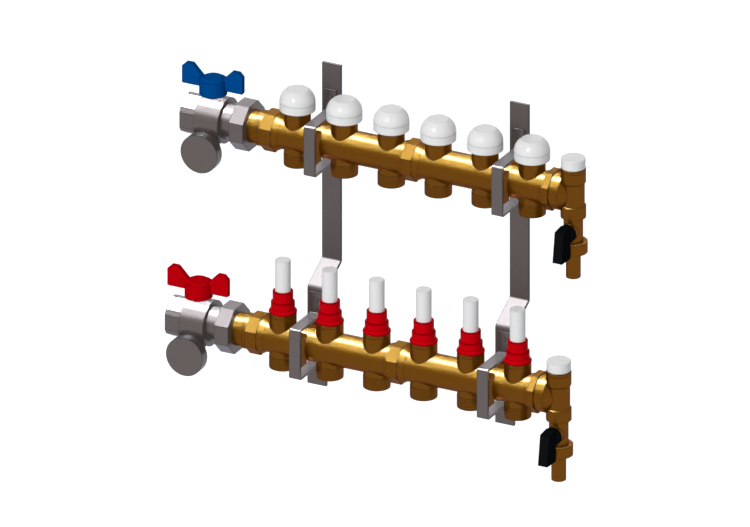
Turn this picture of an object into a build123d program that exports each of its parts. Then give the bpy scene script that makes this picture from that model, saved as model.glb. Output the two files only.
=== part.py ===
from build123d import *
import math
import os

# Twin-rail heating manifold on two wall bars. Millimetres, +X along the rails, +Z up.
# The origin is the back face of the left wall bar, at the height of the upper rail's axis.

# Rails and their outlets
outlet_pitch = 50.0
outlets_per_segment = 3
segments_per_rail = 2
rail_radius = 16.1
rail_bore_radius = 12.5
rail_axis_to_wall = 23.7
lower_rail_forward = 30.3
lower_rail_drop = 198.6

# Head of a rail segment: ring, eight-sided grip and cone
head_to_outlet = 35.2
head_ring_radius = 17.5
head_ring_length = 4.0
head_grip_flats = 38.0
head_grip_length = 11.8
head_cone_length = 5.6

# Screwed joint between rail pieces
spigot_radius = 15.0
spigot_length = 12.0
gasket_thickness = 2.0
screw_gap = 0.05
seal_height = 2.0
seal_depth = 1.6
seal_below_shoulder = 1.2

# Outlets under the rail and their seats
outlet_boss_radius = 12.9
outlet_thread_radius = 13.2
outlet_thread_length = 12.3
outlet_length = 29.3
outlet_bore_radius = 7.0
outlet_mouth_radius = 8.9
outlet_mouth_depth = 7.0
seat_radius = 9.3
seat_depth = 12.9

# Bosses on top of the rails
valve_boss_radius = 12.9
valve_boss_height = 28.0
meter_boss_radius = 13.2
meter_boss_height = 24.5
boss_bore_radius = 9.6

# Valve inserts with their pins and caps, upper rail
insert_length = 14.0
insert_chamber_radius = 7.5
insert_chamber_depth = 8.0
insert_collar_radius = 14.9
insert_collar_height = 6.5
insert_neck_radius = 6.0
insert_neck_height = 3.5
pin_radius = 2.0
pin_disc_radius = 8.6
pin_disc_thickness = 3.0
pin_travel = 3.0
cap_radius = 17.3
cap_skirt_height = 8.0
cap_dome_height = 12.8
cap_dome_radius = 15.0
cap_overhang = 0.7
cap_groove = 0.3
cap_neck_bore_radius = 7.0
cap_ceiling_gap = 1.5
cap_to_pin = 0.3

# Flow meters, lower rail
meter_flange_height = 3.0
meter_hub_radius = 9.5
meter_hub_height = 9.5
meter_neck_height = 13.0
meter_foot_length = 11.0
sight_radius = 7.5
sight_wall = 1.25
sight_top_wall = 2.0
sight_length = 44.5
rim_radius = 13.55
rim_height = 1.2
collar_cone_height = 2.8
collar_step_radius = 11.5
collar_step_height = 7.0
collar_top_radius = 9.85
collar_top_height = 11.1
collar_edge = 0.6
float_rod_radius = 1.0
float_rod_gap = 0.3
float_disc_radius = 5.7
float_disc_thickness = 3.0
float_plate_radius = 6.0
float_plate_thickness = 2.0
float_travel = 17.0
float_top_gap = 6.5

# Ball valves at the inlet end
stem_to_outlet = 89.7
body_behind_stem = 10.3
body_ahead_of_stem = 15.7
valve_neck_radius = 17.5
ball_radius = 18.0
ball_wall = 5.5
ball_chamber_gap = 0.6
ball_chamber_wall = 3.9
ball_seat_length = 4.0
ball_seat_width = 4.0
ball_seat_backing = 3.5
inlet_end_length = 16.1
inlet_flats = 38.0
inlet_corner_flats = 40.8
inlet_thread_radius = 15.15
inlet_thread_depth = 9.9
inlet_spigot_length = 4.0
inlet_spigot_cover = 2.0
inlet_spigot_relief = 0.7

# Valve stem and winged handle
stem_radius = 4.0
stem_shoulder_radius = 5.5
stem_shoulder_height = 1.8
stem_top = 38.0
stem_flat_half = 3.0
stem_flat_from = 28.0
tongue_thickness = 3.9
tongue_width = 9.0
tongue_depth = 2.8
packing_neck_radius = 6.5
packing_neck_top = 25.0
handle_hub_radius = 13.45
handle_hub_top = 40.0
handle_crown_radius = 8.85
handle_crown_height = 2.7
wing_thickness = 4.5
wing_bottom = 30.8
wing_reach = 32.3
wing_shoulder = 48.5
wing_tip_out = 28.0
wing_tip_in = 21.0
wing_top = 52.65
wing_root = 10.4
wing_root_height = 41.8
wing_corner = 1.2

# Union between ball valve and rail
union_flange_radius = 17.5
union_flange_length = 2.8
union_tail_radius = 16.0
union_exposed = 8.6
union_nut_flats = 46.0
union_nut_length = 14.8
union_lip = 3.0
union_ring_thickness = 2.0
union_ring_outer = 17.4
union_ring_groove = 0.8
union_tail_beyond_ring = 1.0

# Temperature gauge and its boss on the valve body
gauge_radius = 19.5
gauge_thickness = 10.0
gauge_back = 20.1
gauge_drop = 26.4
gauge_stem_radius = 4.0
gauge_stem_length = 9.0
gauge_boss_radius = 13.5
gauge_boss_depth = 9.0

# End fitting with its air vent
tee_ring_radius = 17.0
tee_ring_length = 4.0
tee_grip_flats = 38.0
tee_grip_length = 7.0
tee_neck_radius = 18.3
tee_neck_length = 9.5
tee_reach = 29.0
tee_cone_radius = 9.6
tee_bore_radius = 8.0
tee_column_radius = 10.95
tee_top_collar_radius = 12.15
tee_top_collar_bottom = 11.7
tee_top = 23.9
tee_foot_collar_radius = 12.3
tee_foot_collar_height = 12.8
tee_foot = 23.7
tee_chamfer = 1.1
vent_ring_height = 3.1
vent_plug_radius = 8.9
vent_plug_length = 9.0
vent_spigot_radius = 5.8
vent_spigot_height = 6.5
vent_hole_radius = 1.0
vent_cap_radius = 11.7
vent_cap_height = 9.9
vent_cap_edge = 1.3
vent_cap_gap = 0.5

# Drain cock, lever and hose tail
drain_radius = 9.4
drain_length = 25.5
drain_spigot_length = 9.0
drain_bore_radius = 5.0
spindle_drop = 13.3
spindle_boss_radius = 8.5
spindle_boss_reach = 11.0
spindle_radius = 6.45
spindle_gap = 0.05
spindle_wall = 2.4
spindle_stem_radius = 3.5
spindle_stem_length = 4.0
spindle_flat_half = 2.6
lever_hub_radius = 8.9
lever_hub_length = 4.5
lever_width = 10.0
lever_top_depth = 13.3
lever_tip_depth = 17.9
lever_top_rise = 8.6
lever_front_fall = 1.6
lever_length = 23.0
lever_heel = 1.0
hose_thread_radius = 10.5
hose_thread_length = 4.6
hose_washer_thickness = 1.5
hose_flange_radius = 10.3
hose_flange_thickness = 2.0
hose_lip = 2.8
hose_nut_radius = 13.8
hose_tail_radius = 7.15
hose_tail_shoulder = 8.2
hose_tail_bore = 5.0
hose_tail_length = 26.2

# Wall bars and pipe straps
first_bar_to_outlet = 25.5
bar_spacing = 200.0
bar_width = 20.0
bar_thickness = 3.0
bar_top = 70.9
bar_bottom = 250.2
bar_kink_from = 131.7
bar_kink_angle = 60.0
bar_bend_radius = 3.0
strap_width = 12.0
strap_thickness = 2.0
strap_front = 25.5
strap_top = 23.6
strap_bottom = 28.2
strap_foot_top = 44.8
strap_bend_radius = 1.4
strap_tab_width = 8.0
tab_gap = 0.1
rivet_radius = 2.5
rivet_height = 37.4
rivet_head = 0.25
pad_half_height = 15.4
pad_to_axis = 11.4
pad_gap = 0.1

# Clearances shared by several pieces
turning_gap = 0.3
running_gap = 0.05

# Worked out from the sizes above
first_outlet = -first_bar_to_outlet
ball_bore_radius = ball_radius - ball_wall
ball_seat_radius = ball_bore_radius + ball_seat_width
ball_seat_far = ball_radius - ball_seat_backing
ball_seat_near = ball_seat_far - ball_seat_length
valve_body_radius = ball_radius + ball_chamber_gap + ball_chamber_wall
inlet_spigot_radius = valve_body_radius - inlet_spigot_cover
inlet_spigot_bore = ball_radius - inlet_spigot_relief
segment_length = outlet_pitch * outlets_per_segment
outlet_count = outlets_per_segment * segments_per_rail
socket_depth = spigot_length + gasket_thickness
rail_end = segment_length * segments_per_rail - head_to_outlet
tee_axis = rail_end + tee_reach
bar_front = rail_axis_to_wall - bar_thickness
rails = {
    "upper": (-rail_axis_to_wall, 0.0),
    "lower": (-rail_axis_to_wall - lower_rail_forward, -lower_rail_drop),
}
levels = list(rails)


def turned(*outline):
    """A solid of revolution about Z, from its half outline of (radius, height) points."""
    points = [(radius, 0, height) for radius, height in outline]
    return revolve(make_face(Polyline(*points, close=True)), Axis.Z)


def rod(radius, low, high):
    """A cylinder about Z between two heights."""
    base = (Align.CENTER, Align.CENTER, Align.MIN)
    return Pos(0, 0, low) * Cylinder(radius, high - low, align=base)


def ring(inner, outer, low, high):
    """A washer about Z between two heights."""
    return turned((inner, low), (outer, low), (outer, high), (inner, high))


def prism(flats, sides, low, high, turn=0.0):
    """A regular prism about Z, given across its flats."""
    outline = RegularPolygon(flats / 2, sides, major_radius=False, rotation=turn)
    return extrude(Pos(0, 0, low) * outline, high - low)


def block(x, y, z):
    """A box from three (low, high) pairs."""
    size = [high - low for low, high in (x, y, z)]
    middle = [(high + low) / 2 for low, high in (x, y, z)]
    return Pos(*middle) * Box(*size)


def along_x(shape):
    """Turns what was made about Z so that its axis is X."""
    return Rot(0, 90, 0) * shape


def facing_front(shape):
    """Turns what was made about Z so that its +Z points to the front, -Y."""
    return Rot(90, 0, 0) * shape


def on_rail(level, x, shape):
    """Puts a shape made about a rail's axis on that rail, x from its first outlet."""
    y, z = rails[level]
    return Pos(first_outlet + x, y, z) * shape


def on_both(x, shape):
    """The same piece on the upper and on the lower rail."""
    return [on_rail(level, x, shape) for level in levels]


def on_outlets(level, shape):
    """The same piece over each outlet of one rail."""
    return [on_rail(level, i * outlet_pitch, shape) for i in range(outlet_count)]


def save(name, solids):
    """Writes one piece, or one group of like pieces."""
    export_step(Compound(children=list(solids)), f"parts/{name}.step")


def rail_segment(boss_radius, boss_height):
    """A cast segment about X, from its first outlet: head, tube, spigot, outlets and bosses."""
    face = -head_to_outlet
    ring_end = face + head_ring_length
    grip_end = ring_end + head_grip_length
    cone_end = grip_end + head_cone_length
    shoulder = face + segment_length
    socket_end = face + socket_depth
    grip_radius = head_grip_flats / 2
    shape = along_x(rod(rail_radius, face, shoulder))
    shape += along_x(rod(head_ring_radius, face, ring_end))
    shape += along_x(prism(head_grip_flats, 8, ring_end, grip_end, turn=22.5))
    shape += along_x(
        turned((0, grip_end), (grip_radius, grip_end), (rail_radius, cone_end), (0, cone_end))
    )
    shape += along_x(rod(spigot_radius, shoulder, shoulder + spigot_length))
    plain = outlet_length - outlet_thread_length
    for i in range(outlets_per_segment):
        boss = rod(boss_radius, 0, boss_height)
        boss += rod(outlet_boss_radius, -plain, 0)
        boss += rod(outlet_thread_radius, -outlet_length, -plain)
        shape += Pos(i * outlet_pitch, 0, 0) * boss
    shape -= along_x(rod(rail_bore_radius, face, shoulder + spigot_length))
    shape -= along_x(rod(spigot_radius + screw_gap, face, socket_end))
    mouth = -outlet_length + outlet_mouth_depth
    passage = turned(
        (0, -outlet_length),
        (outlet_mouth_radius, -outlet_length),
        (outlet_bore_radius, mouth),
        (outlet_bore_radius, -seat_depth),
        (seat_radius, -seat_depth),
        (seat_radius, 0),
        (boss_bore_radius, 0),
        (boss_bore_radius, boss_height),
        (0, boss_height),
    )
    for i in range(outlets_per_segment):
        shape -= Pos(i * outlet_pitch, 0, 0) * passage
    return shape


def rail_gasket():
    """The flat gasket between a spigot's nose and the end of its socket."""
    end = -head_to_outlet + socket_depth
    return along_x(ring(rail_bore_radius, spigot_radius - screw_gap, end - gasket_thickness, end))


def plug_groove(shoulder):
    """Outline points of the sealing groove in a screwed plug, below its shoulder."""
    high = shoulder - seal_below_shoulder
    plug = boss_bore_radius - screw_gap
    return [
        (plug, high - seal_height),
        (plug - seal_depth, high - seal_height),
        (plug - seal_depth, high),
        (plug, high),
    ]


def plug_seal(shoulder):
    """The rubber ring in that groove."""
    high = shoulder - seal_below_shoulder
    plug = boss_bore_radius - screw_gap
    return ring(plug - seal_depth, plug, high - seal_height, high)


def valve_insert():
    """The insert screwed into an upper boss; its collar carries the cap's thread."""
    foot = valve_boss_height - insert_length
    collar_top = valve_boss_height + insert_collar_height
    neck_top = collar_top + insert_neck_height
    plug = boss_bore_radius - screw_gap
    chamber = foot + insert_chamber_depth
    bore = pin_radius + running_gap
    return turned(
        (bore, chamber),
        (insert_chamber_radius, chamber),
        (insert_chamber_radius, foot),
        (plug, foot),
        *plug_groove(valve_boss_height),
        (plug, valve_boss_height),
        (insert_collar_radius, valve_boss_height),
        (insert_collar_radius, collar_top),
        (insert_neck_radius, collar_top),
        (insert_neck_radius, neck_top),
        (bore, neck_top),
    )


def cap_ceiling():
    """Height of the flat inside a cap, which presses on the pin."""
    collar_top = valve_boss_height + insert_collar_height
    return collar_top + insert_neck_height + pin_travel + turning_gap + cap_ceiling_gap


def valve_pin():
    """A pin with the disc that closes an outlet's seat, raised by its travel."""
    disc = -seat_depth + pin_travel + turning_gap
    top = cap_ceiling() - cap_to_pin
    return turned(
        (0, disc),
        (pin_disc_radius, disc),
        (pin_disc_radius, disc + pin_disc_thickness),
        (pin_radius, disc + pin_disc_thickness),
        (pin_radius, top),
        (0, top),
    )


def cap():
    """A domed hand cap with a seam line where its dome starts."""
    skirt = valve_boss_height - cap_overhang
    seam = skirt + cap_skirt_height
    top = seam + cap_dome_height
    centre = cap_radius - cap_dome_radius
    crown = centre + math.sqrt(cap_dome_radius**2 - cap_dome_height**2)
    middle = math.asin(cap_dome_height / cap_dome_radius) / 2
    arc_point = (
        centre + cap_dome_radius * math.cos(middle),
        0,
        seam + cap_dome_radius * math.sin(middle),
    )
    outline = [
        Line((0, 0, skirt), (cap_radius, 0, skirt)),
        Line((cap_radius, 0, skirt), (cap_radius, 0, seam)),
        ThreePointArc((cap_radius, 0, seam), arc_point, (crown, 0, top)),
        Line((crown, 0, top), (0, 0, top)),
        Line((0, 0, top), (0, 0, skirt)),
    ]
    shape = revolve(make_face(outline), Axis.Z)
    groove = ring(cap_radius - cap_groove, cap_radius + 1, seam - cap_groove, seam + cap_groove)
    ledge = valve_boss_height + insert_collar_height + pin_travel + turning_gap
    shape -= groove
    shape -= rod(insert_collar_radius + turning_gap, skirt, ledge)
    shape -= rod(cap_neck_bore_radius, ledge, cap_ceiling())
    return shape


def meter_levels():
    """Heights of the flow meter's flange, hub and neck tops."""
    flange = meter_boss_height + meter_flange_height
    hub = flange + meter_hub_height
    return flange, hub, hub + meter_neck_height


def meter_body():
    """The flow meter's brass body: screwed foot, flange, hub for the collar and neck."""
    flange, hub, neck = meter_levels()
    foot = meter_boss_height - meter_foot_length
    plug = boss_bore_radius - screw_gap
    bore = float_rod_radius + float_rod_gap
    neck_radius = sight_radius - sight_wall - running_gap
    return turned(
        (bore, foot),
        (plug, foot),
        *plug_groove(meter_boss_height),
        (plug, meter_boss_height),
        (meter_boss_radius, meter_boss_height),
        (meter_boss_radius, flange),
        (meter_hub_radius, flange),
        (meter_hub_radius, hub),
        (neck_radius, hub),
        (neck_radius, neck),
        (bore, neck),
    )


def sight_tube():
    """The closed sight tube that stands on the meter's hub."""
    hub = meter_levels()[1]
    top = hub + sight_length
    inner = sight_radius - sight_wall
    edge = sight_wall / 2
    return turned(
        (inner, hub),
        (sight_radius, hub),
        (sight_radius, top - edge),
        (sight_radius - edge, top),
        (0, top),
        (0, top - sight_top_wall),
        (inner, top - sight_top_wall),
    )


def flow_collar():
    """The stepped red ring that is turned to set the flow."""
    flange, hub, _ = meter_levels()
    low = flange + turning_gap
    rim = low + rim_height
    cone = rim + collar_cone_height
    step = cone + collar_step_height
    top = step + collar_top_height
    hub_bore = meter_hub_radius + turning_gap
    tube_bore = sight_radius + turning_gap
    ledge = hub + turning_gap
    return turned(
        (hub_bore, low),
        (rim_radius, low),
        (rim_radius, rim),
        (collar_step_radius, cone),
        (collar_step_radius, step - collar_edge),
        (collar_step_radius - collar_edge, step),
        (collar_top_radius, step),
        (collar_top_radius, top - collar_edge),
        (collar_top_radius - collar_edge, top),
        (tube_bore, top),
        (tube_bore, ledge),
        (hub_bore, ledge),
    )


def flow_float():
    """The indicator: a disc in the sight tube, its rod, and the plate in the flow."""
    hub = meter_levels()[1]
    ceiling = hub + sight_length - sight_top_wall
    disc_top = ceiling - float_top_gap
    disc_low = disc_top - float_disc_thickness
    plate_low = -seat_depth + float_travel + turning_gap
    plate_top = plate_low + float_plate_thickness
    return turned(
        (0, plate_low),
        (float_plate_radius, plate_low),
        (float_plate_radius, plate_top),
        (float_rod_radius, plate_top),
        (float_rod_radius, disc_low),
        (float_disc_radius, disc_low),
        (float_disc_radius, disc_top),
        (0, disc_top),
    )


def union_levels():
    """Places along X, from the first outlet: nut, retaining ring, tail end and neck end."""
    nut_right = -head_to_outlet - union_flange_length - union_exposed
    ring_right = nut_right - union_lip
    tail_end = ring_right - union_ring_thickness - union_tail_beyond_ring
    return nut_right, ring_right, tail_end, tail_end - gasket_thickness


def union_tail():
    """The tailpiece screwed into the rail's head, with its ring groove and flange."""
    _, ring_right, tail_end, _ = union_levels()
    face = -head_to_outlet
    flange = face - union_flange_length
    groove = union_tail_radius - union_ring_groove
    return along_x(
        turned(
            (rail_bore_radius, tail_end),
            (union_tail_radius, tail_end),
            (union_tail_radius, ring_right - union_ring_thickness),
            (groove, ring_right - union_ring_thickness),
            (groove, ring_right),
            (union_tail_radius, ring_right),
            (union_tail_radius, flange),
            (union_flange_radius, flange),
            (union_flange_radius, face),
            (spigot_radius, face),
            (spigot_radius, face + spigot_length),
            (rail_bore_radius, face + spigot_length),
        )
    )


def union_ring():
    """The split ring that holds the nut on the tailpiece, open at the back."""
    ring_right = union_levels()[1]
    inner = union_tail_radius - union_ring_groove
    low = ring_right - union_ring_thickness
    half_gap = union_ring_thickness / 2
    reach = union_ring_outer + 1
    shape = along_x(ring(inner, union_ring_outer, low, ring_right))
    return shape - block((low - 1, ring_right + 1), (0, reach), (-half_gap, half_gap))


def union_nut():
    """The eight-sided union nut, drawn up against the split ring."""
    nut_right, ring_right, _, _ = union_levels()
    nut_left = nut_right - union_nut_length
    shape = along_x(prism(union_nut_flats, 8, nut_left, nut_right, turn=22.5))
    shape -= along_x(rod(valve_neck_radius + screw_gap, nut_left, ring_right))
    return shape - along_x(rod(union_tail_radius + running_gap, ring_right, nut_right))


def union_gasket():
    """The flat gasket between the valve's neck and the tailpiece."""
    _, _, tail_end, neck_end = union_levels()
    return along_x(ring(rail_bore_radius, union_tail_radius, neck_end, tail_end))


def valve_body():
    """The ball valve's body about X, its stem on Z: chamber, neck and gauge boss."""
    back = -body_behind_stem
    front = body_ahead_of_stem
    neck_end = union_levels()[3] + stem_to_outlet
    spigot_end = back + inlet_spigot_length
    shoulder_top = ball_radius + turning_gap + stem_shoulder_height
    shape = along_x(rod(valve_body_radius, back, front))
    shape += along_x(rod(valve_neck_radius, front, neck_end))
    shape += rod(packing_neck_radius, 0, packing_neck_top)
    shape += gauge_boss()
    shape -= along_x(rod(ball_bore_radius, 0, neck_end))
    shape -= along_x(rod(ball_seat_radius, ball_seat_near, ball_seat_far))
    shape -= along_x(rod(ball_radius + ball_chamber_gap, spigot_end, ball_seat_near))
    shape -= along_x(rod(inlet_spigot_radius + screw_gap, back, spigot_end))
    shape -= rod(stem_radius + running_gap, 0, packing_neck_top)
    shape -= rod(stem_shoulder_radius + turning_gap, 0, shoulder_top + turning_gap)
    spot = rod(gauge_radius + turning_gap, gauge_back, gauge_back + gauge_thickness)
    shape -= Pos(0, 0, -gauge_drop) * facing_front(spot)
    pocket = rod(gauge_stem_radius + running_gap, gauge_back - gauge_stem_length, gauge_back)
    return shape - Pos(0, 0, -gauge_drop) * facing_front(pocket)


def gauge_boss():
    """The cast boss that slants down from the valve's axis to the back of the gauge."""
    reach = math.hypot(gauge_back, gauge_drop) + gauge_boss_radius
    slant = math.degrees(math.atan2(gauge_back, -gauge_drop))
    arm = Rot(slant, 0, 0) * rod(gauge_boss_radius, 0, reach)
    straight = rod(gauge_boss_radius, gauge_back - gauge_boss_depth, gauge_back)
    room = block(
        (-body_behind_stem, body_ahead_of_stem),
        (-gauge_back, gauge_boss_radius),
        (-gauge_drop - gauge_boss_radius, gauge_boss_radius),
    )
    return (arm + Pos(0, 0, -gauge_drop) * facing_front(straight)) & room


def gauge():
    """The round temperature gauge with the stem that plugs into its boss."""
    disc = rod(gauge_radius, gauge_back, gauge_back + gauge_thickness)
    stem = rod(gauge_stem_radius, gauge_back - gauge_stem_length + turning_gap, gauge_back)
    return Pos(0, 0, -gauge_drop) * facing_front(disc + stem)


def valve_end():
    """The inlet piece about X: six-sided, its corners cut, threaded inside for the pipe."""
    inner = -body_behind_stem
    outer = inner - inlet_end_length
    thread_end = outer + inlet_thread_depth
    nose = inner + inlet_spigot_length
    hexagon = prism(inlet_flats, 6, outer, inner)
    trimmed = hexagon & prism(inlet_corner_flats, 6, outer, inner, turn=30)
    shape = trimmed + rod(inlet_spigot_radius, inner, nose)
    shape -= rod(inlet_thread_radius, outer, thread_end)
    shape -= rod(ball_bore_radius, outer, nose)
    shape -= rod(ball_seat_radius, -ball_seat_far, -ball_seat_near)
    shape -= rod(inlet_spigot_bore, -ball_seat_near, nose)
    return along_x(shape)


def ball_seats():
    """The two seat rings that the ball turns between."""
    outer = ball_seat_radius - screw_gap
    seat = along_x(ring(ball_bore_radius, outer, -ball_seat_far, -ball_seat_near))
    seat -= Sphere(ball_radius + turning_gap)
    return [seat, mirror(seat, about=Plane.YZ)]


def ball():
    """The bored ball, open along X, with the slot for the stem's tongue."""
    slot_half = tongue_thickness / 2 + running_gap
    slot_floor = ball_radius - tongue_depth - running_gap
    slot = block((-slot_half, slot_half), (-ball_radius, ball_radius), (slot_floor, ball_radius))
    bore = along_x(rod(ball_bore_radius, -ball_radius, ball_radius))
    return Sphere(ball_radius) - bore - slot


def stem_grip(radius, flat_half, low, high):
    """A round shank with two flats, about Z."""
    sides = block((-flat_half, flat_half), (-radius, radius), (low, high))
    return rod(radius, low, high) & sides


def valve_stem():
    """The stem: tongue in the ball, shoulder below the packing, flats in the handle."""
    shoulder = ball_radius + turning_gap
    half_x = tongue_thickness / 2
    half_y = tongue_width / 2
    shape = block((-half_x, half_x), (-half_y, half_y), (ball_radius - tongue_depth, shoulder))
    shape += rod(stem_shoulder_radius, shoulder, shoulder + stem_shoulder_height)
    shape += rod(stem_radius, shoulder, stem_flat_from)
    return shape + stem_grip(stem_radius, stem_flat_half, stem_flat_from, stem_top)


def handle():
    """The winged handle, set along the pipe when the valve is open."""
    low = packing_neck_top + turning_gap
    crown = handle_hub_top + handle_crown_height
    shape = turned(
        (0, low),
        (handle_hub_radius, low),
        (handle_hub_radius, handle_hub_top),
        (handle_crown_radius, crown),
        (0, crown),
    )
    side = [
        (wing_reach, wing_bottom),
        (wing_reach, wing_shoulder),
        (wing_tip_out, wing_top),
        (wing_tip_in, wing_top),
        (wing_root, wing_root_height),
    ]
    mirrored = [(-x, z) for x, z in reversed(side)]
    outline = make_face(Polyline(*[(x, 0, z) for x, z in side + mirrored], close=True))
    wings = extrude(fillet(outline.vertices(), wing_corner), wing_thickness / 2, both=True)
    shape += wings
    shape -= rod(stem_radius + running_gap, low, stem_flat_from + turning_gap)
    grip = stem_grip(
        stem_radius + running_gap,
        stem_flat_half + running_gap,
        stem_flat_from,
        stem_top + turning_gap,
    )
    return shape - grip


def end_tee():
    """The end fitting about its column on Z; its branch reaches back to the rail."""
    face = -tee_reach
    ring_end = face + tee_ring_length
    grip_end = ring_end + tee_grip_length
    neck_end = grip_end + tee_neck_length
    branch = rod(tee_ring_radius, face, ring_end)
    branch += prism(tee_grip_flats, 8, ring_end, grip_end, turn=22.5)
    branch += rod(tee_neck_radius, grip_end, neck_end)
    branch += turned((0, neck_end), (tee_neck_radius, neck_end), (tee_cone_radius, 0), (0, 0))
    foot_collar_top = -tee_foot + tee_foot_collar_height
    column = turned(
        (0, -tee_foot),
        (tee_foot_collar_radius, -tee_foot),
        (tee_foot_collar_radius, foot_collar_top - tee_chamfer),
        (tee_column_radius, foot_collar_top),
        (tee_column_radius, tee_top_collar_bottom),
        (tee_top_collar_radius, tee_top_collar_bottom + tee_chamfer),
        (tee_top_collar_radius, tee_top),
        (0, tee_top),
    )
    shape = along_x(branch) + column
    shape -= along_x(rod(spigot_radius + screw_gap, face, face + socket_depth))
    shape -= along_x(rod(tee_bore_radius, face, 0))
    shape -= rod(tee_bore_radius, -tee_foot, tee_top)
    plug_floor = tee_top - vent_plug_length - turning_gap
    return shape - rod(vent_plug_radius + screw_gap, plug_floor, tee_top)


def vent_plug():
    """The air vent's brass plug, screwed into the column's top, with its bleed hole."""
    ring_top = tee_top + vent_ring_height
    spigot_top = ring_top + vent_spigot_height
    foot = tee_top - vent_plug_length
    edge = vent_hole_radius / 2
    return turned(
        (vent_hole_radius, foot),
        (vent_plug_radius, foot),
        (vent_plug_radius, tee_top),
        (tee_top_collar_radius, tee_top),
        (tee_top_collar_radius, ring_top - edge),
        (tee_top_collar_radius - edge, ring_top),
        (vent_spigot_radius, ring_top),
        (vent_spigot_radius, spigot_top),
        (vent_hole_radius, spigot_top),
    )


def vent_cap():
    """The white hand cap over the vent's spigot."""
    low = tee_top + vent_ring_height + vent_cap_gap
    high = low + vent_cap_height
    ceiling = tee_top + vent_ring_height + vent_spigot_height + vent_cap_gap
    bore = vent_spigot_radius + turning_gap
    shape = rod(vent_cap_radius, low, high)
    shape = fillet(shape.edges().group_by(Axis.Z)[-1], vent_cap_edge)
    return shape - rod(bore, low, ceiling)


def spindle_height():
    """Height of the drain spindle's axis."""
    return -tee_foot - spindle_drop


def drain_body():
    """The drain cock's body below the column, with the boss for its spindle."""
    low = -tee_foot - drain_length
    shape = rod(drain_radius, low, -tee_foot)
    shape += rod(tee_bore_radius - screw_gap, -tee_foot, -tee_foot + drain_spigot_length)
    shape += rod(hose_thread_radius, low - hose_thread_length, low)
    boss = rod(spindle_boss_radius, 0, spindle_boss_reach)
    shape += Pos(0, 0, spindle_height()) * facing_front(boss)
    shape -= rod(drain_bore_radius, low - hose_thread_length, -tee_foot + drain_spigot_length)
    blind = spindle_wall - drain_radius
    bore = rod(spindle_radius + spindle_gap, blind, spindle_boss_reach)
    return shape - Pos(0, 0, spindle_height()) * facing_front(bore)


def drain_spindle():
    """The cross-drilled plug that turns in the drain body, with its flatted shank."""
    blind = spindle_wall - drain_radius + turning_gap
    shank_end = spindle_boss_reach + spindle_stem_length
    shape = rod(spindle_radius, blind, spindle_boss_reach)
    shape += stem_grip(spindle_stem_radius, spindle_flat_half, spindle_boss_reach, shank_end)
    shape -= Rot(90, 0, 0) * rod(drain_bore_radius, -drain_radius, drain_radius)
    return Pos(0, 0, spindle_height()) * facing_front(shape)


def drain_lever():
    """The drain's lever: a round hub and a wedge that hangs along the pipe when open."""
    hub_low = spindle_boss_reach + turning_gap
    hub_high = hub_low + lever_hub_length
    hub = rod(lever_hub_radius, hub_low, hub_high)
    side = [
        (-hub_high, lever_top_rise),
        (-hub_high - lever_top_depth, lever_top_rise - lever_front_fall),
        (-hub_high - lever_tip_depth, -lever_length),
        (-hub_high, -lever_length - lever_heel),
    ]
    outline = make_face(Polyline(*[(0, y, z) for y, z in side], close=True))
    blade = extrude(outline, lever_width / 2, both=True)
    grip = stem_grip(
        spindle_stem_radius + running_gap,
        spindle_flat_half + running_gap,
        hub_low,
        spindle_boss_reach + spindle_stem_length + turning_gap,
    )
    shape = facing_front(hub) + blade - facing_front(grip)
    return Pos(0, 0, spindle_height()) * shape


def hose_levels():
    """Heights below the drain body: thread end, flange top, lip top and nut bottom."""
    thread_end = -tee_foot - drain_length - hose_thread_length
    flange_top = thread_end - hose_washer_thickness
    lip_top = flange_top - hose_flange_thickness
    return thread_end, flange_top, lip_top, lip_top - hose_lip


def hose_washer():
    """The washer between the drain body and the hose tail."""
    thread_end, flange_top, _, _ = hose_levels()
    return ring(hose_tail_bore, hose_flange_radius, flange_top, thread_end)


def hose_tail():
    """The plain hose tail with the flange that the nut holds."""
    _, flange_top, lip_top, nut_bottom = hose_levels()
    low = nut_bottom - hose_tail_length
    return turned(
        (hose_tail_bore, low),
        (hose_tail_radius, low),
        (hose_tail_radius, nut_bottom),
        (hose_tail_shoulder, nut_bottom),
        (hose_tail_shoulder, lip_top),
        (hose_flange_radius, lip_top),
        (hose_flange_radius, flange_top),
        (hose_tail_bore, flange_top),
    )


def hose_nut():
    """The round nut that draws the hose tail up to the drain body."""
    _, _, lip_top, nut_bottom = hose_levels()
    nut_top = -tee_foot - drain_length
    thread = hose_thread_radius + screw_gap
    lip = hose_tail_shoulder + screw_gap
    return turned(
        (lip, nut_bottom),
        (hose_nut_radius, nut_bottom),
        (hose_nut_radius, nut_top),
        (thread, nut_top),
        (thread, lip_top),
        (lip, lip_top),
    )


def bent_strip(points, width, thickness, radius):
    """Flat strip bent about X: its middle line runs through (y, z) points."""
    line = FilletPolyline(*[(0, y, z) for y, z in points], radius=radius)
    section = Plane(origin=line @ 0, x_dir=(1, 0, 0), z_dir=line % 0)
    return sweep(section * Rectangle(width, thickness), path=line)


def rivet_hole():
    """A rivet's hole through strap foot and bar, about the rail's axis at one bar."""
    low = -rail_axis_to_wall
    high = -bar_front + strap_thickness
    return Pos(0, 0, rivet_height) * facing_front(rod(rivet_radius, low, high))


def tab_slot(gap):
    """The strap's tab, or with a gap the slot that it goes into."""
    half = strap_tab_width / 2 + gap
    low = -strap_bottom - gap
    high = -strap_bottom + strap_thickness + gap
    return block((-half, half), (bar_front, rail_axis_to_wall), (low, high))


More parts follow.
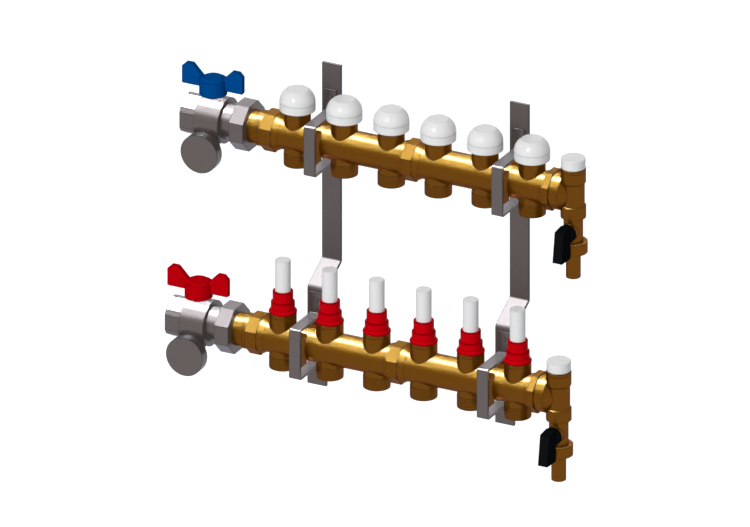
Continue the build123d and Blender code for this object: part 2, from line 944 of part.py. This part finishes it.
def wall_bar(x):
    """A steel wall bar, bent so that the lower rail stands further forward."""
    middle = -bar_thickness / 2
    kink_fall = lower_rail_forward / math.tan(math.radians(bar_kink_angle))
    mitre = middle * math.tan(math.radians(bar_kink_angle / 2))
    knee = -bar_kink_from + mitre
    line = [
        (middle, bar_top),
        (middle, knee),
        (middle - lower_rail_forward, knee - kink_fall),
        (middle - lower_rail_forward, -bar_bottom),
    ]
    shape = Pos(x, 0, 0) * bent_strip(line, bar_width, bar_thickness, bar_bend_radius)
    for y, z in rails.values():
        shape -= Pos(x, y, z) * rivet_hole()
        shape -= Pos(x, y, z) * tab_slot(tab_gap)
    return shape


def strap():
    """The bent strap that clamps a rail to a bar, riveted above and hooked in below."""
    half = strap_thickness / 2
    line = [
        (bar_front - half, strap_foot_top),
        (bar_front - half, strap_top - half),
        (half - strap_front, strap_top - half),
        (half - strap_front, half - strap_bottom),
        (bar_front, half - strap_bottom),
    ]
    shape = bent_strip(line, strap_width, strap_thickness, strap_bend_radius)
    return shape + tab_slot(0) - rivet_hole()


def rivet():
    """The rivet through a strap's foot and its bar, almost flush in front."""
    low = -rail_axis_to_wall
    high = -bar_front + strap_thickness
    shank = rod(rivet_radius - screw_gap, low, high)
    dome = turned(
        (0, high),
        (rivet_radius, high),
        (rivet_radius - rivet_head, high + rivet_head),
        (0, high + rivet_head),
    )
    return Pos(0, 0, rivet_height) * facing_front(shank + dome)


def strap_pads():
    """The two cradles that hold the rail inside its strap."""
    half = strap_width / 2
    span = (-pad_half_height, pad_half_height)
    front = block((-half, half), (strap_thickness - strap_front, -pad_to_axis), span)
    rear = block((-half, half), (pad_to_axis, bar_front), span)
    pipe = along_x(rod(rail_radius + pad_gap, -strap_width, strap_width))
    return [front - pipe, rear - pipe]


def on_bars(make):
    """What a function makes, at each place where a bar carries a rail."""
    placed = []
    for y, z in rails.values():
        for x in (0.0, bar_spacing):
            placed += [Pos(x, y, z) * solid for solid in make()]
    return placed


def between_segments():
    """Places of the second and later segments along a rail."""
    return [i * segment_length for i in range(1, segments_per_rail)]


os.makedirs("parts", exist_ok=True)

save("left_bar", [wall_bar(0.0)])
save("right_bar", [wall_bar(bar_spacing)])
save("pipe_straps", on_bars(lambda: [strap()]))
save("strap_rivets", on_bars(lambda: [rivet()]))
save("clamp_pads", on_bars(strap_pads))

bosses = {
    "upper": (valve_boss_radius, valve_boss_height),
    "lower": (meter_boss_radius, meter_boss_height),
}
for level in levels:
    segment = rail_segment(*bosses[level])
    save(f"{level}_rail_inlet", [on_rail(level, 0, segment)])
    save(f"{level}_rail_end", [on_rail(level, x, segment) for x in between_segments()])

save("union_tailpieces", on_both(0, union_tail()))
save("union_rings", on_both(0, union_ring()))
save("union_nuts", on_both(0, union_nut()))
save("valve_bodies", on_both(-stem_to_outlet, valve_body()))
save("valve_ends", on_both(-stem_to_outlet, valve_end()))
save("gauges", on_both(-stem_to_outlet, gauge()))
save("end_tees", on_both(tee_axis, end_tee()))
save("vent_plugs", on_both(tee_axis, vent_plug()))
save("drain_bodies", on_both(tee_axis, drain_body()))
save("hose_tails", on_both(tee_axis, hose_tail()))
save("hose_nuts", on_both(tee_axis, hose_nut()))
save("valve_inserts", on_outlets("upper", valve_insert()))
save("meter_bodies", on_outlets("lower", meter_body()))
save("sight_tubes", on_outlets("lower", sight_tube()))

seals = on_both(0, union_gasket()) + on_both(tee_axis, hose_washer())
for joint in range(segments_per_rail + 1):
    seals += on_both(joint * segment_length, rail_gasket())
for seat in ball_seats():
    seals += on_both(-stem_to_outlet, seat)
seals += on_outlets("upper", plug_seal(valve_boss_height))
seals += on_outlets("lower", plug_seal(meter_boss_height))
save("seals", seals)

moving = {
    "handle": (-stem_to_outlet, handle()),
    "valve_stem": (-stem_to_outlet, valve_stem()),
    "ball": (-stem_to_outlet, ball()),
    "vent_cap": (tee_axis, vent_cap()),
    "drain_lever": (tee_axis, drain_lever()),
    "drain_spindle": (tee_axis, drain_spindle()),
}
for name, (x, shape) in moving.items():
    for level in levels:
        save(f"{level}_{name}", [on_rail(level, x, shape)])

over_outlets = {
    "cap": ("upper", cap()),
    "valve_pin": ("upper", valve_pin()),
    "flow_collar": ("lower", flow_collar()),
    "flow_float": ("lower", flow_float()),
}
for name, (level, shape) in over_outlets.items():
    for i, placed in enumerate(on_outlets(level, shape), start=1):
        save(f"{name}_{i}", [placed])
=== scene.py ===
import math

import bmesh
import bpy
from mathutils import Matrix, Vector


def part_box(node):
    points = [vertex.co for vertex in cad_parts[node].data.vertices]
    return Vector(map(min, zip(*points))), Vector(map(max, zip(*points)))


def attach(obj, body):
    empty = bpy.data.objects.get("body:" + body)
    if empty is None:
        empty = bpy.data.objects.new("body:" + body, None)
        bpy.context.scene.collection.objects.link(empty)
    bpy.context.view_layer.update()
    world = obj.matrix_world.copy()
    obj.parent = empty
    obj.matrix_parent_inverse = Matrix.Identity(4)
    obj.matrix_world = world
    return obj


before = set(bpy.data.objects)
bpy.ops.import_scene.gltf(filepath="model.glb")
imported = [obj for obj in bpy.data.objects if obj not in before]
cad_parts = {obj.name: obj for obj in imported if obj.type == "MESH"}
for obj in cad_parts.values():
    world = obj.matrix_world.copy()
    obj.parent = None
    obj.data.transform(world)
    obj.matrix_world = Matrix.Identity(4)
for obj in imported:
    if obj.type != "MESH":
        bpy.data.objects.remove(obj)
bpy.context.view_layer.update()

# Camera: a parallel view from the right of the rails and a little above them.
# The picture's middle is given along its own right and up directions, in metres.
azimuth = math.radians(27.14)
elevation = math.radians(24.28)
picture_width = 0.7109
middle_right = 0.03996
middle_up = -0.12559
camera_distance = 2.0
sight_reach = 20.0
to_camera = Vector(
    (
        math.sin(azimuth) * math.cos(elevation),
        -math.cos(azimuth) * math.cos(elevation),
        math.sin(elevation),
    )
)
picture_right = Vector((math.cos(azimuth), math.sin(azimuth), 0))
picture_up = to_camera.cross(picture_right)
lens = bpy.data.cameras.new("camera")
lens.type = "ORTHO"
lens.ortho_scale = picture_width
lens.clip_end = sight_reach
camera = bpy.data.objects.new("camera", lens)
camera.location = (
    picture_right * middle_right + picture_up * middle_up + to_camera * camera_distance
)
camera.rotation_mode = "QUATERNION"
camera.rotation_quaternion = (-to_camera).to_track_quat("-Z", "Y")
bpy.context.scene.collection.objects.link(camera)
bpy.context.scene.camera = camera
bpy.context.scene.view_settings.view_transform = "Standard"


# Studio: a white room with soft light from the front left, which colours the plastics evenly.
# Plated steel, brass, the rails and the white caps each mirror wide lamps of their own, which
# no other piece shows, so that flats and rounds have even tones.
class Wire:
    """One output of a shader node. Arithmetic on it adds Math nodes beside it."""

    def __init__(self, tree, socket=None):
        self.tree = tree
        self.socket = socket

    def node(self, kind, settings, values, output=0):
        """Adds a node: its settings first, then the values or wires of its sockets."""
        made = self.tree.nodes.new("ShaderNode" + kind)
        for name, setting in settings.items():
            setattr(made, name, setting)
        for name, value in values.items():
            if isinstance(value, Wire):
                self.tree.links.new(value.socket, made.inputs[name])
            else:
                made.inputs[name].default_value = value
        return Wire(self.tree, made.outputs[output] if made.outputs else None)

    def math(self, operation, *others):
        """A Math node on this wire and further wires or numbers."""
        values = dict(enumerate((self, *others)))
        return self.node("Math", {"operation": operation}, values)

    def limited(self):
        """This value, held between 0 and 1."""
        return self.node("Clamp", {}, {"Value": self})

    def __add__(self, other):
        return self.math("ADD", other)

    def __mul__(self, other):
        return self.math("MULTIPLY", other)

    def __sub__(self, other):
        return self.math("SUBTRACT", other)

    def __rsub__(self, other):
        return self.math("MULTIPLY_ADD", -1.0, other)

    __radd__ = __add__
    __rmul__ = __mul__


white = (1.0, 1.0, 1.0, 1.0)
room_tint = (0.84, 0.92, 1.0, 1.0)
room_light = 0.28
world = bpy.data.worlds.new("studio")
world.use_nodes = True
world.node_tree.nodes.clear()
bpy.context.scene.world = world


def blended(start, amount, first, second):
    """One colour towards another by an amount."""
    return start.node("Mix", {"data_type": "RGBA"}, {0: amount, 6: first, 7: second}, 2)


def seen_as_background(start):
    """1 for rays from the camera, off metal and through glass, 0 for those that light."""
    camera_ray = start.node("LightPath", {}, {}, "Is Camera Ray")
    glossy_ray = start.node("LightPath", {}, {}, "Is Glossy Ray")
    through_ray = start.node("LightPath", {}, {}, "Is Transmission Ray")
    return (camera_ray + glossy_ray + through_ray).limited()


sky = Wire(world.node_tree)
sky_seen = seen_as_background(sky)
sky_colour = blended(sky, sky_seen, room_tint, white)
sky_strength = sky_seen * (1 - room_light) + room_light
sky_glow = sky.node("Background", {}, {"Color": sky_colour, "Strength": sky_strength})
sky.node("OutputWorld", {}, {"Surface": sky_glow})


def soft_box(name, towards, strength, softness, tint=white, seen_in=None):
    """A wide lamp far off. It lights matt surfaces, or is only mirrored in some pieces."""
    mirrored = seen_in is not None
    light = bpy.data.lights.new(name, "SUN")
    light.energy = strength
    light.color = tint[:3]
    light.angle = math.radians(softness)
    light.use_shadow = not mirrored
    light.cycles.use_multiple_importance_sampling = not mirrored
    lamp = bpy.data.objects.new(name, light)
    lamp.rotation_mode = "QUATERNION"
    lamp.rotation_quaternion = Vector(towards).to_track_quat("Z", "Y")
    lamp.visible_glossy = mirrored
    lamp.visible_diffuse = not mirrored
    lamp.light_linking.receiver_collection = seen_in
    bpy.context.scene.collection.objects.link(lamp)


steel_pieces = bpy.data.collections.new("steel_pieces")
brass_pieces = bpy.data.collections.new("brass_pieces")
rail_pieces = bpy.data.collections.new("rail_pieces")
white_caps = bpy.data.collections.new("white_caps")
steel_tint = (0.96, 1.10, 1.20)
brass_tint = (1.0, 1.7, 2.2)
highlight_tint = (1.0, 1.65, 3.8)
overhead = (-0.43, 0.015, 0.90)
ahead = (-0.36, -0.58, 0.73)
behind = (-0.38, 0.56, 0.73)
soft_box("front_light", (0.05, -0.82, 0.55), 2.38, 60)
soft_box("back_light", (-0.35, 0.85, 0.40), 1.4, 40)
soft_box("steel_overhead", overhead, 7.4, 19, steel_tint, steel_pieces)
soft_box("steel_ahead", ahead, 1.6, 31, steel_tint, steel_pieces)
soft_box("steel_behind", behind, 1.75, 29, steel_tint, steel_pieces)
soft_box("brass_overhead", overhead, 8.0, 20, highlight_tint, brass_pieces)
soft_box("brass_ahead", ahead, 1.5, 31, brass_tint, brass_pieces)
soft_box("brass_behind", behind, 1.6, 28, brass_tint, brass_pieces)
soft_box("rail_right", (0.37, 0.02, 0.93), 8.0, 20, highlight_tint, rail_pieces)
soft_box("rail_right_ahead", (0.45, -0.55, 0.70), 2.0, 30, brass_tint, rail_pieces)
soft_box("cap_spot", (-0.07, -0.85, 0.54), 5.0, 9, white, white_caps)

floor_drop = 1.0
floor_half = 4.0
floor_glow = 0.68
floor_colour = (0.50, 0.56, 0.61, 1)
bpy.ops.mesh.primitive_grid_add(
    x_subdivisions=4, y_subdivisions=4, size=2 * floor_half, location=(0, 0, -floor_drop)
)
floor = bpy.context.object
floor.name = "floor"
floor_paint = bpy.data.materials.new("floor_paint")
floor_paint.use_nodes = True
floor_paint.node_tree.nodes.clear()
ground = Wire(floor_paint.node_tree)
ground_matt = ground.node("BsdfDiffuse", {}, {"Color": floor_colour})
ground_strength = seen_as_background(ground) * floor_glow
ground_glow = ground.node("Emission", {}, {"Color": white, "Strength": ground_strength})
ground_sum = ground.node("AddShader", {}, {0: ground_matt, 1: ground_glow})
ground.node("OutputMaterial", {}, {"Surface": ground_sum})
floor.data.materials.append(floor_paint)

# Wall bars: flat steel strip, zinc plated and bent twice, so that the lower rail stands forward.
# Rolling left a faint grain along the strip, and dark lines stand in the sheared edges.
bar_steel_colour = (0.099, 0.082, 0.078)
bar_roughness = 0.55
steel_rim = (0.75, 0.75, 0.80, 1)
# Line colours darken hard edges, and also paint shade into creases and seams.
steel_line_and_shade = (0.008, 0.007, 0.007, 1)
strip_grain = (1, 1, 0.06)
even_grain = (1, 1, 1)
grain_size = 0.0005
grain_strength = 0.02
grain_depth = 0.0001
cloud_size = 0.015
cloud_spread = 0.04
patch_size = 0.009
patch_spread = 0.04
metal_edge = 0.0009
metal_edge_contrast = 45.0
# Reach and strength of the painted shade in creases and where metal pieces meet.
metal_shade_reach = 0.0009
metal_shade_contrast = 2.0
lacquer_roughness = 0.25
# Each metal gives off this share of its colour as a painted glow, which lifts its shade evenly.
painted_glow_share = 0.3
plated_finishes = []


def finish(name):
    """A new material, and the start of its nodes."""
    material = bpy.data.materials.new(name)
    material.use_nodes = True
    material.node_tree.nodes.clear()
    return material, Wire(material.node_tree)


def surfaced(start, **values):
    """Ends a material in a Principled shader with these sockets."""
    named = {}
    for key, value in values.items():
        named[key.replace("_", " ").title().replace("Ior", "IOR")] = value
    shader = start.node("BsdfPrincipled", {}, named)
    start.node("OutputMaterial", {}, {"Surface": shader})


def noise(start, size, stretch=even_grain):
    """Soft noise with features of about the given size in metres, drawn out along an axis."""
    point = start.node("TexCoord", {}, {}, "Object")
    drawn = start.node("VectorMath", {"operation": "MULTIPLY"}, {0: point, 1: stretch})
    return start.node("TexNoise", {}, {"Vector": drawn, "Scale": 1 / size, "Detail": 2.0})


def rounded(start, radius):
    """The surface's normal, as if its hard edges were rounded to a radius."""
    return start.node("Bevel", {"samples": 6}, {"Radius": radius})


def edge_line(start, radius, contrast):
    """1 on a thin line along hard edges, 0 elsewhere."""
    flat = start.node("NewGeometry", {}, {}, "Normal")
    values = {0: rounded(start, radius), 1: flat}
    facing = start.node("VectorMath", {"operation": "DOT_PRODUCT"}, values, "Value")
    return ((1.0 - facing) * contrast).limited()


def painted_crease_shade(start, reach, contrast):
    """Painted shade: 1 on a thin line in creases and where this piece meets another, 0
    elsewhere.
    """
    open_enough = 0.8
    openness = start.node("AmbientOcclusion", {"samples": 4}, {"Distance": reach}, "AO")
    return ((open_enough - openness) * contrast).limited()


def toned(start, colour, spread, size):
    """A colour that wanders a little lighter and darker over the surface."""
    dark = (*[part * (1 - spread) for part in colour], 1)
    light = (*[part * (1 + spread) for part in colour], 1)
    return blended(start, noise(start, size), dark, light)


def bumped(start, height, strength, depth, edge):
    """A fine relief on a surface whose hard edges are rounded."""
    values = {"Height": height, "Strength": strength, "Distance": depth}
    return start.node("Bump", {}, values | {"Normal": rounded(start, edge)})


def metal(name, colour, rim, line_and_shade_colour, roughness, shine, contrast, drawn):
    """Clouds, fine grain and dark lines with painted shade in creases, and a painted glow: a
    little of its colour given off all round.
    """
    material, start = finish(name)
    edges = edge_line(start, metal_edge, contrast)
    # Dark lines on hard edges, plus painted shade in creases and where pieces meet.
    line = (edges + painted_crease_shade(start, metal_shade_reach, metal_shade_contrast)).limited()
    cloud = noise(start, cloud_size)
    tone = toned(start, colour, patch_spread, patch_size)
    grain = noise(start, grain_size, drawn)
    surfaced(
        start,
        base_color=blended(start, line, tone, line_and_shade_colour),
        metallic=1.0,
        roughness=cloud * cloud_spread + (roughness - cloud_spread / 2),
        specular_tint=rim,
        coat_weight=shine,
        coat_roughness=lacquer_roughness,
        # Painted glow: part of the colour given off, which lifts shaded parts.
        emission_color=(*[part * painted_glow_share for part in colour], 1),
        emission_strength=1.0,
        normal=bumped(start, grain, grain_strength, grain_depth, metal_edge),
    )
    return material


def plated(name, colour, roughness, line_and_shade_colour=steel_line_and_shade, drawn=even_grain):
    """Zinc, nickel or chrome plate, which mirrors the steel lamps."""
    shine = 0.0
    contrast = metal_edge_contrast
    material = metal(name, colour, steel_rim, line_and_shade_colour, roughness, shine, contrast, drawn)
    plated_finishes.append(material)
    return material


def dress(material, *nodes):
    """Gives carried-over solids their material."""
    for node in nodes:
        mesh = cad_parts[node].data
        mesh.materials.clear()
        mesh.materials.append(material)


bar_steel = plated("bar_steel", bar_steel_colour, bar_roughness, drawn=strip_grain)
dress(bar_steel, "left_bar", "right_bar")

# Pipe straps: narrower strip of the same zinc-plated steel, bent square round each rail.
# Each one's foot is riveted to its wall bar, and its other end hooks into a slot.
strap_roughness = 0.29
strap_grain = (1, 0.06, 1)
strap_steel = plated("strap_steel", bar_steel_colour, strap_roughness, drawn=strap_grain)
rivet_steel = plated("rivet_steel", bar_steel_colour, strap_roughness)
dress(strap_steel, "pipe_straps")
dress(rivet_steel, "strap_rivets")

# Clamp pads: brown moulded plastic saddles that cradle the rails in the straps.
# They are matt, and keep the rails from rattling.
pad_colour = (0.34, 0.135, 0.025)
# Its line colour also paints shade into creases and seams.
pad_line_and_shade = (0.030, 0.012, 0.003, 1)
peel_size = 0.002
peel_spread = 0.06
peel_strength = 0.03
peel_depth = 0.0002
mottle_size = 0.01
mottle_spread = 0.02
plastic_edge = 0.0008
# Reach and strength of the painted shade in creases and where plastic pieces meet.
plastic_shade_reach = 0.0006
plastic_shade_contrast = 1.5


def plastic(name, colour, line_and_shade_colour, roughness, gloss, contrast=40.0):
    """A moulded plastic: even colour, slight orange peel, darker lines in edges and painted
    shade in seams.
    """
    material, start = finish(name)
    edges = edge_line(start, plastic_edge, contrast)
    # Dark lines on hard edges, plus painted shade in creases and where pieces meet.
    line = (edges + painted_crease_shade(start, plastic_shade_reach, plastic_shade_contrast)).limited()
    peel = noise(start, peel_size)
    tone = toned(start, colour, mottle_spread, mottle_size)
    surfaced(
        start,
        base_color=blended(start, line, tone, line_and_shade_colour),
        roughness=peel * peel_spread + (roughness - peel_spread / 2),
        specular_ior_level=gloss,
        normal=bumped(start, peel, peel_strength, peel_depth, plastic_edge),
    )
    return material


dress(plastic("pad_plastic", pad_colour, pad_line_and_shade, 0.5, 0.1), "clamp_pads")

# Rails: two cast brass segments of three outlets each, screwed together, at each level.
# The casting is polished along the pipe, and its rings and octagons are turned and milled.
brass_colour = (0.107, 0.0365, 0.0008)
brass_rim = (0.5, 0.4, 0.3, 1)
# Its line colour also paints shade into creases and seams.
brass_line_and_shade = (0.010, 0.004, 0.001, 1)
brass_roughness = 0.33
brass_shine = 0.10
pipe_grain = (0.05, 1, 1)
brass_finishes = []


def brass(name, contrast=metal_edge_contrast, drawn=even_grain):
    """Bare brass under a thin clear lacquer, which mirrors the brass lamps."""
    material = metal(
        name, brass_colour, brass_rim, brass_line_and_shade, brass_roughness, brass_shine, contrast, drawn
    )
    brass_finishes.append(material)
    return material


rail_brass = brass("rail_brass", drawn=pipe_grain)
rail_axes = {"upper": (-0.0237, 0.0), "lower": (-0.0540, -0.1986)}
for level in rail_axes:
    dress(rail_brass, f"{level}_rail_inlet", f"{level}_rail_end")

# Outlet threads: the three quarter inch pipe thread cut on each stub under the rails.
# Each is one helical ridge that stands in the stub's surface and runs out at both ends.
# Cut metal stays calm and brown: it mirrors none of the lamps.
outlet_numbers = range(1, 7)
outlet_pitch = 0.050
first_outlet = -0.0255
thread_top = -0.0174
thread_foot = -0.0288
outlet_thread_pitch = 0.001814
outlet_thread_root = 0.0129
outlet_thread_crest = 0.0133
ridge_half = 0.50
crest_half = 0.24


def thread(name, centre, root, crest, foot, top, pitch, along=Vector((0, 0, 1))):
    """A helical ridge from foot to top along an axis, with a flat crest and sloped flanks."""
    steps_a_turn = 56
    steps = int((top - foot) / pitch * steps_a_turn)
    run_out = steps_a_turn / 2
    side = along.orthogonal().normalized()
    other = along.cross(side)
    mesh = bpy.data.meshes.new(name)
    form = bmesh.new()
    rings = []
    for step in range(steps + 1):
        turn = 2 * math.pi * step / steps_a_turn
        outward = side * math.cos(turn) + other * math.sin(turn)
        height = foot + (top - foot) * step / steps
        rise = min(1.0, step / run_out, (steps - step) / run_out)
        peak = root + (crest - root) * rise
        profile = (
            (root, -ridge_half),
            (peak, -crest_half),
            (peak, crest_half),
            (root, ridge_half),
        )
        rings.append(
            [
                form.verts.new(centre + outward * radius + along * (height + share * pitch))
                for radius, share in profile
            ]
        )
    for ring, following in zip(rings, rings[1:]):
        for corner in range(4):
            near = (corner + 1) % 4
            form.faces.new((ring[corner], ring[near], following[near], following[corner]))
    form.faces.new(rings[0])
    form.faces.new(rings[-1][::-1])
    bmesh.ops.recalc_face_normals(form, faces=form.faces)
    form.to_mesh(mesh)
    form.free()
    piece = bpy.data.objects.new(name, mesh)
    bpy.context.scene.collection.objects.link(piece)
    return piece


thread_brass = brass("thread_brass", contrast=8.0)
for level, (rail_y, rail_z) in rail_axes.items():
    for i in outlet_numbers:
        outlet_x = first_outlet + outlet_pitch * (i - 1)
        cut = thread(
            f"outlet_thread_{level}_{i}",
            Vector((outlet_x, rail_y, rail_z)),
            outlet_thread_root,
            outlet_thread_crest,
            thread_foot,
            thread_top,
            outlet_thread_pitch,
        )
        cut.data.materials.append(thread_brass)
        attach(cut, "root")

# Unions: a turned brass tailpiece in each rail, held by a ring and an eight-sided nut.
# The nuts are nickel plated like the valves they screw on to.
nickel_colour = (0.098, 0.081, 0.077)
nickel_roughness = 0.32
turned_brass = brass("turned_brass")
nickel = plated("nickel", nickel_colour, nickel_roughness)
dress(turned_brass, "union_tailpieces")
dress(rivet_steel, "union_rings")
dress(nickel, "union_nuts")

# Ball valves: nickel-plated forged bodies with a cast boss in front for the round gauge.
# A six-sided end is screwed in behind the chromed ball, and the stem turns the ball.
chrome_colour = (0.55, 0.54, 0.53)
# Its line colour also paints shade into creases and seams.
chrome_line_and_shade = (0.10, 0.10, 0.10, 1)
chrome_roughness = 0.12
chrome = plated("chrome", chrome_colour, chrome_roughness, chrome_line_and_shade)
dress(nickel, "valve_bodies", "valve_ends", "gauges")
dress(chrome, "upper_ball", "lower_ball")
dress(nickel, "upper_valve_stem", "lower_valve_stem")

# Inlet threads: the one inch pipe thread cut inside each valve's six-sided end.
# The ridge stands inwards from the bore and stops short of its bottom.
inlet_thread_pitch = 0.002309
inlet_thread_root = 0.0155
inlet_thread_crest = 0.0149
inlet_thread_depth = 0.0086
inlet_lead = 0.0008
valve_end_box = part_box("valve_ends")
for level, (rail_y, rail_z) in rail_axes.items():
    mouth_x = valve_end_box[0].x
    cut = thread(
        f"inlet_thread_{level}",
        Vector((mouth_x, rail_y, rail_z)),
        inlet_thread_root,
        inlet_thread_crest,
        inlet_lead + inlet_thread_pitch / 2,
        inlet_thread_depth,
        inlet_thread_pitch,
        along=Vector((1, 0, 0)),
    )
    cut.data.materials.append(nickel)
    steel_pieces.objects.link(cut)
    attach(cut, "root")

# Handles: cast wings on a round hub, painted blue on the upper valve and red on the lower.
# The paint is smooth and nearly matt, and a screw under the crown holds each to its stem.
blue_colour = (0.0, 0.065, 0.265)
# These line colours also paint shade into creases and seams.
blue_line_and_shade = (0.0, 0.008, 0.028, 1)
red_colour = (0.50, 0.0, 0.004)
red_line_and_shade = (0.05, 0.0, 0.001, 1)
dress(plastic("blue_paint", blue_colour, blue_line_and_shade, 0.4, 0.0), "upper_handle")
dress(plastic("red_paint", red_colour, red_line_and_shade, 0.4, 0.0), "lower_handle")

# End fittings: a brass tee on each rail's end, with a column that stands upright.
# An air vent with a white hand cap is on top, and a drain cock hangs underneath.
column_grain = (1, 1, 0.05)
white_colour = (0.82, 0.80, 0.775)
# Its line colour also paints shade into creases and seams.
white_line_and_shade = (0.64, 0.64, 0.64, 1)
column_brass = brass("column_brass", drawn=column_grain)
cap_plastic = plastic("cap_plastic", white_colour, white_line_and_shade, 0.18, 0.08, contrast=70.0)
dress(column_brass, "end_tees", "vent_plugs")
dress(cap_plastic, "upper_vent_cap", "lower_vent_cap")

# Drain cocks: a brass body with a cross-drilled plug that the black lever turns.
# A round nut holds the plain tail for a hose.
black_colour = (0.0055, 0.006, 0.0065)
# Its line colour also paints shade into creases and seams.
black_line_and_shade = (0.0015, 0.0015, 0.002, 1)
lever_plastic = plastic("lever_plastic", black_colour, black_line_and_shade, 0.4, 0.0)
dress(column_brass, "drain_bodies", "hose_tails", "hose_nuts")
dress(turned_brass, "upper_drain_spindle", "lower_drain_spindle")
dress(lever_plastic, "upper_drain_lever", "lower_drain_lever")

# Valve tops: a brass insert in each upper outlet, with a pin that closes it.
# The white domed cap is moulded, with a seam round its skirt, and is turned by hand.
dress(turned_brass, "valve_inserts")
dress(rivet_steel, *[f"valve_pin_{i}" for i in outlet_numbers])
dress(cap_plastic, *[f"cap_{i}" for i in outlet_numbers])

# Flow meters: a brass body, a red setting ring and a milky tube on each lower outlet.
# The red float inside the tube hangs on its rod and sinks as water flows.
ring_colour = (0.57, 0.0, 0.0045)
tube_plastic = plastic("tube_plastic", white_colour, white_line_and_shade, 0.3, 0.02)
ring_plastic = plastic("ring_plastic", ring_colour, red_line_and_shade, 0.35, 0.01)
dress(turned_brass, "meter_bodies")
dress(ring_plastic, *[f"flow_collar_{i}" for i in outlet_numbers])
dress(tube_plastic, "sight_tubes")
dress(ring_plastic, *[f"flow_float_{i}" for i in outlet_numbers])

# Seals: black rubber gaskets and rings, and the seats of the balls.
# All are pressed between pieces, so hardly any of them shows.
rubber_colour = (0.02, 0.02, 0.02)
# Its line colour also paints shade into creases and seams.
rubber_line_and_shade = (0.005, 0.005, 0.005, 1)
dress(plastic("seal_rubber", rubber_colour, rubber_line_and_shade, 0.6, 0.3), "seals")

# Mirrored lamps: each piece is put with the lamps that its finish mirrors.
# The rails and tailpieces mirror two more from the right, in the cones beside their octagons.
for name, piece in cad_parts.items():
    coating = piece.data.materials[0]
    if coating in plated_finishes:
        steel_pieces.objects.link(piece)
    if coating in brass_finishes:
        brass_pieces.objects.link(piece)
    if coating == rail_brass or name == "union_tailpieces":
        rail_pieces.objects.link(piece)
    if coating == cap_plastic:
        white_caps.objects.link(piece)
